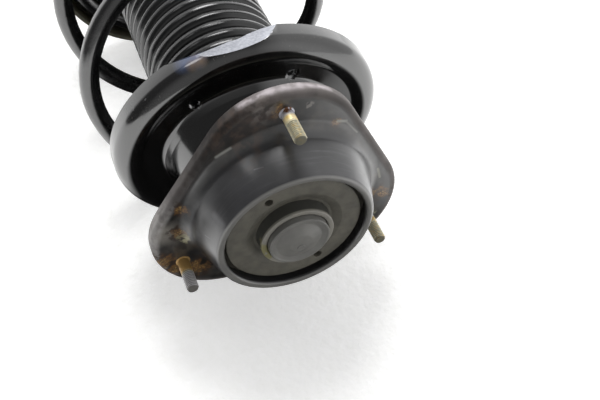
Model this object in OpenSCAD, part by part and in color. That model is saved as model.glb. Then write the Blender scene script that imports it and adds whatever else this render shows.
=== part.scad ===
// Suspension strut: coil spring over a twin-tube damper, with its three-stud upper mount.
// It lies on its side. The modules are drawn along local z, which runs down the strut from the
// mount's face, and lay_down() turns them so that the strut points along +Y with +Z up.

/* [Mount] */
// Radius of the circle that the studs stand on
stud_circle_r = 73.4; // [70:0.1:77]
// Radius of a stud
stud_r = 4; // [3.5:0.1:5]
// Height of the stud tips above the flange's face
stud_h = 23; // [18:0.5:30]
// Direction of the first stud, from +X towards +Z
stud_turn = 86; // [0:1:120]
// Corner radius of the flange's outline
flange_corner_r = 50.5; // [48:0.5:53]
// Distance from the axis to the centre of a flange corner
flange_corner_at = 37; // [35:0.5:39]
// Sheet thickness of the flange and its lip
flange_t = 4.5; // [3.5:0.1:5.5]
// Depth of the folded lip
lip_h = 9; // [8:0.5:11]
// Height of the cup's rim above the flange's face
cup_h = 30; // [28:0.5:33]
// Outer radius of the cup's rim
cup_rim_r = 50; // [49:0.1:52]
// Outer radius of the cup where its foot begins to flare
cup_foot_r = 57.5; // [56:0.1:59]
// Radius of the flare from the cup to the flange
cup_flare = 9; // [7:0.5:10]
// Outer radius of the bearing carrier's boss
boss_r = 23.5; // [22.5:0.1:25]
// Radius of the dust cap's head
cap_r = 19.2; // [18.8:0.1:19.4]

/* [Bearing] */
// Outer radius of the bearing
bearing_r = 17.5; // [17.5:0.1:18]
// Width of the bearing
bearing_w = 11; // [10:0.5:11]
// Radius of the ball circle
ball_circle_r = 12.5; // [12.4:0.1:12.6]
// Radius of a ball
ball_r = 2.976; // [2.9:0.002:3]
// Number of balls
ball_count = 8; // [6:1:9]

/* [Upper spring seat] */
// Distance from the flange's face to the seat's crest, on the axis
seat_z = 54; // [50:0.5:60]
// Tilt of the seat's dish against the strut
seat_tilt = 10; // [8:0.5:11]
// Outer radius of the skirt
seat_r = 90; // [89:0.1:92]
// Depth of the skirt below the crest
skirt_h = 17.7; // [16:0.1:20]
// Sheet thickness
seat_t = 2.5; // [2:0.1:3]
// Radius of the rounded shoulder
shoulder_r = 10; // [8:0.5:11]

/* [Coil spring] */
// Radius of the wire
wire_r = 6.85; // [6:0.05:7.2]
// Mean radius of the body turns
coil_r = 90; // [86:0.5:92]
// Mean radius of the turn that lies under the upper seat
upper_turn_r = 70; // [69:0.5:71]
// Mean radius of the turn that lies on the perch
lower_turn_r = 77; // [75.5:0.5:78]
// Rise of the body turns per turn
coil_pitch = 84.66; // [80:0.1:86]

/* [Boot] */
// Outer radius of the ribs
boot_r = 48.4; // [47:0.1:49]
// Distance between ribs
rib_pitch = 10; // [9:0.1:10]
// Number of ribs
rib_count = 17; // [16:1:17]

/* [Damper] */
// Outer radius of the tube
tube_r = 25.5; // [25:0.1:26]
// Wall of the tube
tube_wall = 2.5; // [2:0.1:2.8]
// Where the tube begins, from the flange's face
tube_top = 203; // [200:1:206]
// Where the tube ends
tube_end = 486; // [484:1:490]
// Radius of the piston rod
rod_r = 11; // [10:0.1:11.2]
// Bore radius of the inner cylinder
cylinder_r = 20; // [19.5:0.1:20.2]
// Where the perch's rim stands, from the flange's face
perch_z = 281; // [278:0.5:284]

/* [Brackets] */
// Half the gap between the knuckle ears
ear_gap_half = 19; // [17:0.5:20]
// Radius of the knuckle bolt holes
knuckle_hole_r = 7.1; // [6:0.1:8]
// Distance from the strut's axis to the knuckle bolts
knuckle_bolt_out = 49; // [47:0.5:52]
// Distance between the knuckle bolts
knuckle_bolt_gap = 58; // [52:1:62]

/* [Hidden] */
$fn = 96;
eps = 0.01;
big = 400;

// Studs, cup and carrier
stud_collar_r = stud_r + 1.2;
cup_wall = 4.5;
cup_in_rim = cup_rim_r - cup_wall;
cup_in_foot = cup_foot_r - cup_wall;
boss_top = -cup_h - 1.6;
cap_spigot_r = 17.3;
cap_gap = 0.6;
cap_seat = boss_top + 2.5;
boss_foot_r = 32;
boss_foot_z = [-4, 2];
rubber_face = -25.3;
rubber_recess = 4.3;
recess_floor_w = 2.7;
recess_rim_w = 4.7;

// Bearing stack along the rod: nut, washer, bearing, spacer, seat hub
bearing_top = -12;
bearing_end = bearing_top + bearing_w;
bearing_mid = (bearing_top + bearing_end) / 2;
groove_r = ball_r + 0.074;
cage_half_w = ball_r + 1;
bearing_bore_r = 7.5;
stop_ring_r = 14.5;
circlip_z = [bearing_end + 0.05, bearing_end + 1.45];
washer_h = 2;
nut_h = 11;
nut_flats = 21;
thread_r = 7;
spigot_r = bearing_bore_r - 0.02;
rod_tip = -27.5;
hub_top = 14;
hub_t = 3.5;
hub_under = hub_top + hub_t;

// Upper seat, in its own tilted frame: t runs from the crest towards the spring
valley_t = 3;
valley_r = [59, 73];
neck = [[56, -3], [51.5, -16], [47.5, -32], [46.5, -54]];
pad_t = 5;
pad_half_w = 6.9;
pad_under = valley_t + seat_t + pad_t;
seat_running_gap = 0.3;
upper_turn_t = pad_under + seat_running_gap + wire_r;
drain_hole_r = 3.5;
drain_at = 63;
drain_holes = [65.5, 125.5, 245.5, 305.5];

// A ground bevel on the skirt: it faces this way, and leaves the skirt at these depths
bevel_turn = 93;
bevel_out_t = 4.5;
bevel_in_t = 11.5;

// Perch: sheet, depth of its dish and the pad in it
perch_t = 3;
perch_depth = 19;
lower_pad_t = 3;

// Spring route: the angle falls from the tip under the seat to the tip on the perch
spring_tip = 712.5;
leaves_seat = [480, 420];
widens = [430, 290];
narrows = [-290, -415];
settles = [-290, -470];
lands = [-445, -495];
spring_end = -712.5;
body_ref = [180, 128.3];
body_lean = 0.074;
body_shift_y = 0.9;
lower_turn_z = perch_z + perch_depth - lower_pad_t - wire_r;
spring_sides = 8;
rings_per_turn = 24;

// Damper stack
tube_in = tube_r - tube_wall;
seal_z = [tube_top + 2, tube_top + 9];
guide_z = [tube_top + 9, tube_top + 25];
guide_end = tube_top + 30;
piston_top = 290;
piston_h = 20;
rod_end = piston_top + piston_h + 12;
cylinder_end = 474;
running = 0.06;
perch_floor = perch_z + perch_depth;
knuckle_mid = 440;
ear_t = 4.5;
ear_round = 18;

// Turns local z to +Y and keeps +Z up
module lay_down() rotate([-90, 0, 0]) children();

// Points local x at an angle from +X towards +Z
module facing(a) rotate([0, 0, -a]) children();

// The tilted frame of the upper seat
module seat_frame() translate([0, 0, seat_z]) rotate([seat_tilt, 0, 0]) children();

// A plain ring from radius r0 to r1 and from z0 to z1
module ring(r0, r1, z0, z1) {
    translate([0, 0, z0]) difference() {
        cylinder(r = r1, h = z1 - z0);
        translate([0, 0, -1]) cylinder(r = r0, h = z1 - z0 + 2);
    }
}

// Points on an arc, in the profile's plane
function arc(c, r, a0, a1, n = 6) =
    [for (i = [0 : n]) let (a = a0 + (a1 - a0) * i / n) c + r * [cos(a), sin(a)]];

function smooth(x) = let (c = min(max(x, 0), 1)) c * c * (3 - 2 * c);

// Mount

corner_turns = [for (i = [0 : 2]) stud_turn + 120 * i];
corners = [for (a = corner_turns) flange_corner_at * [cos(a), -sin(a)]];

// The flange's outline: circles at the corners, with straight sides a hair inside their tangents
hair = 0.03;
module rounded_triangle(r) {
    for (c = corners) translate(c) circle(r = r);
    polygon([for (i = [0 : 2]) each [for (side = [-60, 60])
        let (a = corner_turns[i] + side) corners[i] + (r - hair) * [cos(a), -sin(a)]]]);
}

// The flange as a solid: its face, its lip, and between them the fold round the corners and along the sides
module flange_solid(fold) {
    step = 0.8;
    r = flange_corner_r;
    side = flange_corner_at * sqrt(3);
    edge = concat([[0, hair]], arc([r - fold, fold], fold - hair, -90, 0), [[r - hair, fold + 1], [0, fold + 1]]);
    linear_extrude(fold) rounded_triangle(r - fold + step);
    translate([0, 0, fold - step]) linear_extrude(lip_h - fold + step) rounded_triangle(r);
    for (i = [0 : 2]) {
        translate(corners[i]) rotate_extrude() polygon(edge);
        facing(corner_turns[i] + 60) translate([flange_corner_at / 2 - hair, side / 2, 0])
            rotate([90, 0, 0]) linear_extrude(side) polygon(edge);
    }
}

module mount_plate() color("#2b2b2b") lay_down() {
    difference() {
        union() {
            flange_solid(4);
            rotate_extrude() polygon(concat(
                [[0, -cup_h], [cup_rim_r, -cup_h]],
                arc([cup_foot_r + cup_flare, -cup_flare], cup_flare, 180, 90),
                [[0, eps]]));
        }
        translate([0, 0, flange_t]) linear_extrude(lip_h) rounded_triangle(flange_corner_r - flange_t);
        rotate_extrude() polygon([
            [0, -cup_h - 1], [cup_in_rim, -cup_h - 1], [cup_in_rim, -cup_h],
            [cup_in_foot, -cup_flare], [cup_in_foot, flange_t + 1], [0, flange_t + 1]]);
        for (a = corner_turns) facing(a) translate([stud_circle_r, 0, -1])
            cylinder(r = stud_collar_r, h = flange_t + 2);
    }
}

module mount_studs() color("#a59a6e") lay_down() {
    head_r = stud_collar_r + 2.5;
    head_h = 3;
    chamfer = 0.9;
    for (a = corner_turns) facing(a) translate([stud_circle_r, 0, 0])
        rotate_extrude() polygon([
            [0, -stud_h], [stud_r - chamfer, -stud_h], [stud_r, -stud_h + chamfer], [stud_r, 0],
            [stud_collar_r, 0], [stud_collar_r, flange_t], [head_r, flange_t],
            [head_r, flange_t + head_h], [0, flange_t + head_h]]);
}

module mount_rubber() color("#3a3633") lay_down() {
    wall = function (z) cup_in_rim + (z + cup_h) * (cup_in_foot - cup_in_rim) / (cup_h - cup_flare);
    vent_at = 35.4;
    vent_r = 2;
    recess = rubber_face + rubber_recess;
    difference() {
        rotate_extrude() polygon([
            [boss_r, recess], [boss_r + recess_floor_w, recess], [boss_r + recess_rim_w, rubber_face],
            [wall(rubber_face), rubber_face], [cup_in_foot, -cup_flare], [cup_in_foot, 3], [48, 3],
            [46, -3], [36, -3], [34, boss_foot_z[1]],
            [boss_foot_r, boss_foot_z[1]], [boss_foot_r, boss_foot_z[0]], [boss_r, boss_foot_z[0]]]);
        for (a = [116, 296]) facing(a) translate([vent_at, 0, rubber_face - 1]) cylinder(r = vent_r, h = 9);
    }
}

// Bearing

module bearing_carrier() color("#6f6c66") lay_down() {
    pocket = bearing_r;
    groove = 1.1;
    rotate_extrude() polygon([
        [cap_r + cap_gap + 0.4, boss_top], [boss_r - 0.8, boss_top], [boss_r, boss_top + 0.8],
        [boss_r, boss_foot_z[0]], [boss_foot_r, boss_foot_z[0]], [boss_foot_r, boss_foot_z[1]],
        [pocket, boss_foot_z[1]], [pocket, circlip_z[1]], [pocket + groove, circlip_z[1]],
        [pocket + groove, circlip_z[0]], [pocket, circlip_z[0]], [pocket, bearing_top],
        [stop_ring_r, bearing_top], [stop_ring_r, bearing_top - 2.5],
        [cap_spigot_r, bearing_top - 2.5], [cap_spigot_r, cap_seat],
        [cap_r + cap_gap, cap_seat], [cap_r + cap_gap, boss_top + 0.4]]);
}

module race(r0, r1) rotate_extrude() difference() {
    translate([r0, bearing_top]) square([r1 - r0, bearing_w]);
    translate([ball_circle_r, bearing_mid]) circle(r = groove_r);
}

module bearing_outer_race() color("#b9bcc0") lay_down() race(ball_circle_r + 2.4, bearing_r);

module bearing_inner_race() color("#b9bcc0") lay_down() race(bearing_bore_r, ball_circle_r - 2.4);

module each_ball() for (i = [0 : ball_count - 1]) rotate([0, 0, 360 * i / ball_count])
    translate([ball_circle_r, 0, bearing_mid]) children();

module bearing_balls() color("#d8dadd") lay_down() each_ball() sphere(r = ball_r, $fn = 48);

module bearing_cage() color("#a8842c") lay_down() difference() {
    ring(ball_circle_r - 0.8, ball_circle_r + 0.8, bearing_mid - cage_half_w, bearing_mid + cage_half_w);
    each_ball() rotate([0, 90, 0]) cylinder(r = ball_r + 0.03, h = 6, center = true);
}

module bearing_circlip() color("#55585c") lay_down() difference() {
    ring(bearing_r - 1.6, bearing_r + 1, circlip_z[0] + 0.05, circlip_z[1] - 0.05);
    translate([bearing_r, 0, 0]) cube([8, 9, 20], center = true);
}

module dust_cap() color("#77777a") lay_down() {
    wall = 1.2;
    edge = 0.8;
    face = boss_top - 3.2;
    dome = [[13.2, face], [11.8, face - 0.7], [10, face - 1.5], [7, face - 1.9], [0, face - 2]];
    under_dome = [for (i = [len(dome) - 1 : -1 : 0]) [max(dome[i][0] - wall / 2, 0), dome[i][1] + wall]];
    rotate_extrude() polygon(concat(
        [[cap_spigot_r - wall, -24], [cap_spigot_r, -24], [cap_spigot_r, cap_seat], [cap_r, cap_seat]],
        arc([cap_r - edge, face + edge], edge, 0, -90, 5),
        dome, under_dome, [[cap_spigot_r - wall, face + wall]]));
}

// Rod stack

// Hexagon nut between z0 and z1 with chamfered corners and a round bore
module hex_nut(flats, bore, z0, z1) {
    corner_r = flats / 2 / cos(30);
    chamfer = 1;
    difference() {
        intersection() {
            translate([0, 0, z0]) cylinder(r = corner_r, h = z1 - z0, $fn = 6);
            rotate_extrude() polygon([
                [0, z0], [corner_r - 1.5, z0], [corner_r, z0 + chamfer],
                [corner_r, z1 - chamfer], [corner_r - 1.5, z1], [0, z1]]);
        }
        translate([0, 0, z0 - 1]) cylinder(r = bore, h = z1 - z0 + 2);
    }
}

module rod_nut() color("#8d9094") lay_down()
    hex_nut(nut_flats, thread_r + 0.02, bearing_top - washer_h - nut_h, bearing_top - washer_h);

module rod_washer() color("#8d9094") lay_down()
    ring(thread_r + 0.1, 12, bearing_top - washer_h, bearing_top);

module seat_spacer() color("#7d8084") lay_down() ring(bearing_bore_r, 10.5, bearing_end, hub_top);

module piston_rod() color("#c9ccd1") lay_down() rotate_extrude() polygon([
    [0, rod_tip], [thread_r - 1, rod_tip], [thread_r, rod_tip + 1], [thread_r, bearing_top],
    [spigot_r, bearing_top + 0.5], [spigot_r, hub_under], [rod_r, hub_under], [rod_r, piston_top],
    [thread_r, piston_top], [thread_r, rod_end - 1], [thread_r - 1, rod_end], [0, rod_end]]);

module rebound_stop() color("#33363a") lay_down()
    ring(rod_r, rod_r + 6.5, guide_end + 0.5, guide_end + 13);

module piston() color("#8f8d88") lay_down() difference() {
    ring(thread_r + 0.02, cylinder_r - running, piston_top, piston_top + piston_h);
    ring(cylinder_r - 1.8, cylinder_r + 1, piston_top + 6, piston_top + 14);
    for (i = [0 : 5]) rotate([0, 0, 60 * i]) translate([13.5, 0, piston_top - 1])
        cylinder(r = 1.8, h = piston_h + 2);
}

module piston_ring() color("#3d4a3a") lay_down()
    ring(cylinder_r - 1.8, cylinder_r - running / 2, piston_top + 6.1, piston_top + 13.9);

module piston_nut() color("#8d9094") lay_down()
    hex_nut(nut_flats, thread_r + 0.02, piston_top + piston_h, piston_top + piston_h + 10);

// Upper spring seat

// The dish and its neck as a solid under their upper face, drawn back from that face by d
module dish_solid(d, depth) rotate_extrude() polygon(concat(
    [[0, depth], [seat_r - d, depth]],
    arc([seat_r - shoulder_r, shoulder_r], shoulder_r - d, 0, -90, 8),
    [[seat_r - shoulder_r - 2, d],
     [valley_r[1] - d * 0.6, valley_t + d], [valley_r[0] - d * 0.6, valley_t + d]],
    [for (p = neck) [p[0] - d, p[1]]],
    [[0, neck[len(neck) - 1][1]]]));

// What is kept of the dish and its neck below a plane square to the strut
module dish_below(d, depth, top) intersection() {
    seat_frame() dish_solid(d, depth);
    translate([-big / 2, -big / 2, top]) cube(big);
}

module upper_spring_seat() color("#141415") lay_down() difference() {
    dish_below(0, skirt_h, hub_top);
    dish_below(seat_t, skirt_h + 1, hub_under);
    translate([0, 0, hub_top - 1]) cylinder(r = bearing_bore_r, h = hub_t + 2);
    seat_frame() {
        for (a = drain_holes) facing(a) translate([drain_at, 0, 0]) cylinder(r = drain_hole_r, h = 12);
        skirt_bevel();
    }
}

// The half space outside a flat that slopes through the skirt's wall
module skirt_bevel() {
    slope = atan2(seat_t, bevel_in_t - bevel_out_t);
    facing(bevel_turn) translate([seat_r, 0, bevel_out_t]) rotate([0, -slope, 0])
        translate([0, -big / 2, -big / 2]) cube(big);
}

module upper_spring_pad() color("#26282a") lay_down() seat_frame()
    ring(upper_turn_r - pad_half_w, upper_turn_r + pad_half_w, valley_t + seat_t, pad_under);

module bump_stop() color("#c7b98a") lay_down() {
    top = hub_under;
    bore = rod_r + 0.02;
    rotate_extrude() polygon([
        [bore, top], [23, top], [23, top + 10], [19, top + 16], [24, top + 24], [24, top + 30],
        [18, top + 37], [22, top + 45], [21, top + 50], [16, top + 56], [18, top + 62], [15, top + 70],
        [bore, top + 70]]);
}

// Boot: a collar under the hub, ribs, and a collar on the tube

boot_top = hub_under + 0.3;
boot_ribs_z = 66;
boot_valley_r = boot_r - 9;
boot_wall = 1.6;
boot_end_z = boot_ribs_z + rib_count * rib_pitch;
boot_collar_end = boot_end_z + 12;

// One side of the wall, from the hub down to the tube; d draws it in
function boot_side(d) = concat(
    [[34 - d, boot_top + d], [36 - d, boot_top + 20], [boot_valley_r - d, boot_ribs_z - 6]],
    [for (i = [0 : rib_count - 1]) each [
        [boot_valley_r - d, boot_ribs_z + rib_pitch * i],
        [boot_r - 1.2 - d, boot_ribs_z + rib_pitch * (i + 0.3)],
        [boot_r - d, boot_ribs_z + rib_pitch * (i + 0.5)],
        [boot_r - 1.2 - d, boot_ribs_z + rib_pitch * (i + 0.7)]]],
    [[boot_valley_r - d, boot_end_z], [tube_r + 0.1 + boot_wall - d, boot_end_z + 5],
     [tube_r + 0.1 + boot_wall - d, boot_collar_end]]);

module dust_boot() color("#1f2022") lay_down() {
    inner = boot_side(boot_wall);
    last = len(inner) - 1;
    rotate_extrude() polygon(concat(
        [[24, boot_top]], boot_side(0), [for (i = [last : -1 : 0]) inner[i]], [[24, boot_top + boot_wall]]));
}

// Coil spring

// The route: angle a falls from the upper tip to the lower tip
function body_y(a) = body_ref[1] + coil_pitch * (body_ref[0] - a) / 360;
// How far a turn is through a stretch of the route, from 0 to 1
function through(a, stretch) = smooth((stretch[0] - a) / (stretch[0] - stretch[1]));
function spring_radius(a) = upper_turn_r + (coil_r - upper_turn_r) * through(a, widens)
    + (lower_turn_r - coil_r) * through(a, narrows);
function spring_lift(a) = (body_lean * (body_y(a) - seat_z) - body_shift_y)
    * (through(a, widens) - through(a, settles));
// Height along the strut at a place, on the seat's plane, on the body's helix and on the perch
function on_seat(z) = seat_z + (upper_turn_t - z * sin(seat_tilt)) / cos(seat_tilt);
function spring_point(a) =
    let (r = spring_radius(a), x = r * cos(a), z = r * sin(a) + spring_lift(a),
         free = body_y(a) - body_lean * r * sin(a),
         from_seat = through(a, leaves_seat), to_perch = through(a, lands),
         high = max(on_seat(z), on_seat(z) * (1 - from_seat) + free * from_seat),
         y = high * (1 - to_perch) + lower_turn_z * to_perch)
    [x, -z, y];
spring_angles = let (n = ceil((spring_tip - spring_end) / 360 * rings_per_turn))
    [for (i = [0 : n]) spring_tip - (spring_tip - spring_end) * i / n];
spring_route = [for (a = spring_angles) spring_point(a)];
function unit(v) = v / norm(v);
// One ring of the tube at station i, square to the wire
function spring_ring(i) =
    let (last = len(spring_route) - 1, p = spring_route[i],
         t = unit(spring_route[min(i + 1, last)] - spring_route[max(i - 1, 0)]),
         out = unit([p[0], p[1], 0] - t * ([p[0], p[1], 0] * t)), up = cross(t, out))
    [for (k = [0 : spring_sides - 1]) let (b = 360 * (k + 0.5) / spring_sides)
        p + wire_r * (cos(b) * out + sin(b) * up)];
// Least gap between the wire and itself, over stations more than half a turn apart
spring_gap = min([for (i = [0 : len(spring_route) - 1])
    for (j = [i + rings_per_turn / 2 : 1 : len(spring_route) - 1])
        norm(spring_route[i] - spring_route[j])]) - 2 * wire_r;
echo(spring_least_gap_mm = spring_gap);

module coil_spring() color("#101011") lay_down() {
    m = spring_sides;
    count = len(spring_route);
    points = [for (i = [0 : count - 1]) each spring_ring(i)];
    sides = [for (i = [0 : count - 2]) for (k = [0 : m - 1])
        let (a = i * m + k, b = i * m + (k + 1) % m) each [[a, b, a + m], [b, b + m, a + m]]];
    near_end = [for (k = [1 : m - 2]) [0, k + 1, k]];
    far_end = let (f = (count - 1) * m) [for (k = [1 : m - 2]) [f, f + k, f + k + 1]];
    polyhedron(points, concat(sides, near_end, far_end), convexity = 10);
}

// Damper

module strut_tube() color("#1a1b1c") lay_down() ring(tube_in, tube_r, tube_top, tube_end);

module tube_top_cap() color("#2a2b2d") lay_down() rotate_extrude() polygon([
    [rod_r + 1, tube_top - 3], [tube_r + 1, tube_top - 3], [tube_r + 2, tube_top - 2],
    [tube_r + 2, tube_top + 19], [tube_r, tube_top + 19], [tube_r, tube_top], [rod_r + 1, tube_top]]);

module rod_seal() color("#232425") lay_down() ring(rod_r + running, tube_in, seal_z[0], seal_z[1]);

module rod_guide() color("#9a9b98") lay_down() {
    ring(rod_r + running, tube_in, guide_z[0], guide_z[1]);
    ring(rod_r + running, cylinder_r, guide_z[1] - eps, guide_end);
}

module inner_cylinder() color("#b5b7ba") lay_down()
    ring(cylinder_r, cylinder_r + 1.5, guide_z[1], cylinder_end);

module base_valve() color("#8f8d88") lay_down() difference() {
    union() {
        ring(3, cylinder_r, cylinder_end - 8, cylinder_end + eps);
        ring(3, cylinder_r + 1.5, cylinder_end, tube_end - 5);
    }
    for (i = [0 : 3]) rotate([0, 0, 90 * i + 45]) translate([0, 0, cylinder_end + 4])
        rotate([0, 90, 0]) cylinder(r = 1.5, h = 40);
}

module tube_end_cap() color("#1a1b1c") lay_down() rotate_extrude() polygon([
    [0, tube_end - 5], [tube_in, tube_end - 5], [tube_in, tube_end], [tube_r, tube_end],
    [tube_r - 1, tube_end + 2], [18, tube_end + 3], [0, tube_end + 3]]);

module lower_spring_seat() color("#2a2b26") lay_down() {
    rim_in = seat_r - perch_t;
    hole_at = 50;
    difference() {
        rotate_extrude() polygon([
            [tube_r, perch_z + 2], [tube_r + 3.5, perch_z + 2], [33, perch_z + 6], [61, perch_z + 6],
            [66.5, perch_floor], [rim_in - 4.2, perch_floor], [rim_in, perch_floor - 5.7], [rim_in, perch_z],
            [seat_r, perch_z], [seat_r, perch_floor - 4.5], [seat_r - 5.8, perch_floor + perch_t],
            [65, perch_floor + perch_t], [59.5, perch_z + 6 + perch_t], [33, perch_z + 6 + perch_t],
            [tube_r + 3, perch_z + 13], [tube_r + 3, perch_z + 25], [tube_r, perch_z + 25]]);
        for (a = [30 : 120 : 270]) facing(a) translate([hole_at, 0, perch_z])
            cylinder(r = 5, h = 14);
    }
}

module lower_spring_pad() color("#26282a") lay_down()
    ring(68, 82.5, perch_floor - lower_pad_t, perch_floor);

// Brackets, welded to the tube; the knuckle ears point down

module knuckle_bracket() color("#1c1d1e") lay_down() {
    wrap_r = tube_r + ear_t;
    outer = ear_gap_half + ear_t;
    reach = knuckle_bolt_out + ear_round;
    half = knuckle_bolt_gap / 2;
    difference() {
        intersection() {
            translate([0, 0, knuckle_mid - half - 30]) linear_extrude(2 * half + 60) difference() {
                union() {
                    circle(r = wrap_r);
                    polygon([[-wrap_r, 0], [wrap_r, 0], [outer, 27], [outer, reach], [-outer, reach], [-outer, 27]]);
                }
                circle(r = tube_r);
                translate([-ear_gap_half, 14]) square([2 * ear_gap_half, reach]);
            }
            translate([-big / 2, 0, knuckle_mid]) rotate([90, 0, 90]) linear_extrude(big) union() {
                translate([-wrap_r - 1, -half - 14]) square([wrap_r + 12, 2 * half + 28]);
                for (s = [-1, 1]) translate([knuckle_bolt_out, s * half]) circle(r = ear_round);
                translate([knuckle_bolt_out - 2, -half]) square([ear_round + 2, 2 * half]);
                polygon([[10, -half - 14], [knuckle_bolt_out, -half - ear_round],
                         [knuckle_bolt_out, half + ear_round], [10, half + 14]]);
            }
        }
        for (s = [-1, 1]) translate([-big / 2, knuckle_bolt_out, knuckle_mid + s * half])
            rotate([0, 90, 0]) cylinder(r = knuckle_hole_r, h = big);
    }
}

// A welded tab in the plane of the strut's axis, with a round end and one hole
module tab(z, out, half_w, t, hole_r) difference() {
    translate([0, t / 2, z]) rotate([90, 0, 0]) linear_extrude(t) {
        translate([out, 0]) circle(r = half_w);
        polygon([[tube_r - 3, -half_w - 7], [out, -half_w], [out, half_w], [tube_r - 3, half_w + 7]]);
    }
    cylinder(r = tube_r, h = 2 * z);
    translate([out, -t, z]) rotate([-90, 0, 0]) cylinder(r = hole_r, h = 2 * t);
}

module link_bracket() color("#1c1d1e") lay_down() facing(180) tab(348, 50, 15, 5, 5.25);

module hose_bracket() color("#1c1d1e") lay_down() facing(0) tab(352, 48, 13, 3, 6.5);

mount_plate();
mount_studs();
mount_rubber();
bearing_carrier();
bearing_outer_race();
bearing_circlip();
dust_cap();
bearing_balls();
bearing_cage();
bearing_inner_race();
rod_nut();
rod_washer();
seat_spacer();
upper_spring_seat();
upper_spring_pad();
bump_stop();
piston_rod();
rebound_stop();
piston();
piston_ring();
piston_nut();
dust_boot();
coil_spring();
strut_tube();
tube_top_cap();
rod_seal();
rod_guide();
inner_cylinder();
base_valve();
tube_end_cap();
lower_spring_seat();
lower_spring_pad();
knuckle_bracket();
link_bracket();
hose_bracket();
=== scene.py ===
# %% [markdown]
# # Suspension strut: how it looks
# A used front strut lies on its side on a white sheet. The camera looks down on its top end: the rubber
# mount with three studs, the black pressed spring seat, the bellows boot and the first turns of the spring.
# The exact model carries every size. This script dresses it: soft and pressed shapes get their rounded
# edges, and every surface gets its paint, rubber, zinc or rust.

import math

import bmesh
import bpy
from mathutils import Matrix, Vector
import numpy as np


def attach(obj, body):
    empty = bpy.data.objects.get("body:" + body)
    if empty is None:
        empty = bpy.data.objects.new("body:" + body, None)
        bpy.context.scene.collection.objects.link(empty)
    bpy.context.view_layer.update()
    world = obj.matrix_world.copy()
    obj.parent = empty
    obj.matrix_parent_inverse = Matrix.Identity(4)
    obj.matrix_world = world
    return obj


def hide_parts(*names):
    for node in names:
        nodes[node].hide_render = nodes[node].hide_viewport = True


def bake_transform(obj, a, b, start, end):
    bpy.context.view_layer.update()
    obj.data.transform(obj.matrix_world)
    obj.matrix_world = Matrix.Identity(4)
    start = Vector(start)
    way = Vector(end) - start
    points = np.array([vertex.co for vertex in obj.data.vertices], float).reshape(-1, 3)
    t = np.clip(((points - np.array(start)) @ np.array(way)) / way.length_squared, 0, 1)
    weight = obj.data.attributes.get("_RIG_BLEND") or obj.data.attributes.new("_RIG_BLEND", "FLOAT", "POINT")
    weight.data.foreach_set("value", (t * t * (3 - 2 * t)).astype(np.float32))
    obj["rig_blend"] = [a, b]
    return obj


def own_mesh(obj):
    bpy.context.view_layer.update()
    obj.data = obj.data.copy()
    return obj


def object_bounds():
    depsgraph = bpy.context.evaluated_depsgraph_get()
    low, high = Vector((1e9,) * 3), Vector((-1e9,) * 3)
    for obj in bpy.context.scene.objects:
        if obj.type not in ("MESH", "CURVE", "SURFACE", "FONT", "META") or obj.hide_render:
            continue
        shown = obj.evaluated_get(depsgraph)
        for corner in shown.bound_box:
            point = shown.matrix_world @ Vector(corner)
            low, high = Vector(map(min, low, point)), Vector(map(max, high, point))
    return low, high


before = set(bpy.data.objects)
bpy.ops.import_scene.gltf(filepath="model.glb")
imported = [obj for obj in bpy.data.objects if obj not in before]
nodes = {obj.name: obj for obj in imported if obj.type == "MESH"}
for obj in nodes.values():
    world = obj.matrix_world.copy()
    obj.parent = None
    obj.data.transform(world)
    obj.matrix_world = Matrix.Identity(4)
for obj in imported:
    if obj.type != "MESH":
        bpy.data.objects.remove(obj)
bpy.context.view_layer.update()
scene = bpy.context.scene

# %% [markdown]
# ## The camera
# The picture was taken from about half a metre away, looking down at 50 degrees. A camera could be placed by
# eye, but then few edges would fall where the photograph has them. So a pinhole was fitted to the circles of
# the mount and to the three studs, and place, direction and lens come from that fit.

# %% Place the camera
SENSOR_MM = 36
LENS_MM = 52.94
NEAREST = 0.01
CAMERA_AT = (-0.1135, -0.3334, 0.4199)
LOOKS_ALONG = Vector((0.228, 0.6004, -0.7665))
camera = bpy.data.objects.new("camera", bpy.data.cameras.new("camera"))
camera.data.sensor_width = SENSOR_MM
camera.data.lens = LENS_MM
camera.data.clip_start = NEAREST
camera.location = CAMERA_AT
camera.rotation_euler = LOOKS_ALONG.to_track_quat("-Z", "Y").to_euler()
scene.collection.objects.link(camera)
scene.camera = camera
scene.view_settings.view_transform = "Standard"
print("camera at", list(camera.location))

# %% [markdown]
# ## Tools for shapes
# Nearly everything on a strut is turned, pressed or moulded round one axis. Such a piece could be modelled
# from cylinders and bevels, but its section says it all. So it starts as an outline of (radius, place along
# the strut) in millimetres, with a rounding at each corner, and is spun about Y.

# %% Outlines with rounded corners
EDGE_SHARE = 0.49


def rounded(points, steps=4):
    """An outline from corners (r, y, rounding); a rounding takes at most its share of an edge."""
    outline = []
    for i, (r, y, rounding) in enumerate(points):
        corner = Vector((r, y))
        back = Vector(points[i - 1][:2]) - corner
        ahead = Vector(points[(i + 1) % len(points)][:2]) - corner
        if not rounding:
            outline.append(corner)
            continue
        half = back.angle(ahead) / 2
        reach = min(rounding / math.tan(half), EDGE_SHARE * back.length, EDGE_SHARE * ahead.length)
        size = reach * math.tan(half)
        middle = (back.normalized() + ahead.normalized()).normalized()
        centre = corner + middle * (size / math.sin(half))
        first = corner + back.normalized() * reach - centre
        last = corner + ahead.normalized() * reach - centre
        for k in range(steps + 1):
            outline.append(centre + first.lerp(last, k / steps).normalized() * size)
    return outline


def arc(centre, radius, start, end, steps=8):
    """Points (r, y, 0) on an arc, angles in degrees."""
    turns = [math.radians(start + (end - start) * k / steps) for k in range(steps + 1)]
    return [(centre[0] + radius * math.cos(a), centre[1] + radius * math.sin(a), 0) for a in turns]


print("a quarter circle has", len(arc((0, 0), 1, 0, 90)), "points")

# %% Spinning an outline
STEPS = 128
FULL_TURN = 2 * math.pi
AXIS = (0, 1, 0)
WELD_MM = 0.001


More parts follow.
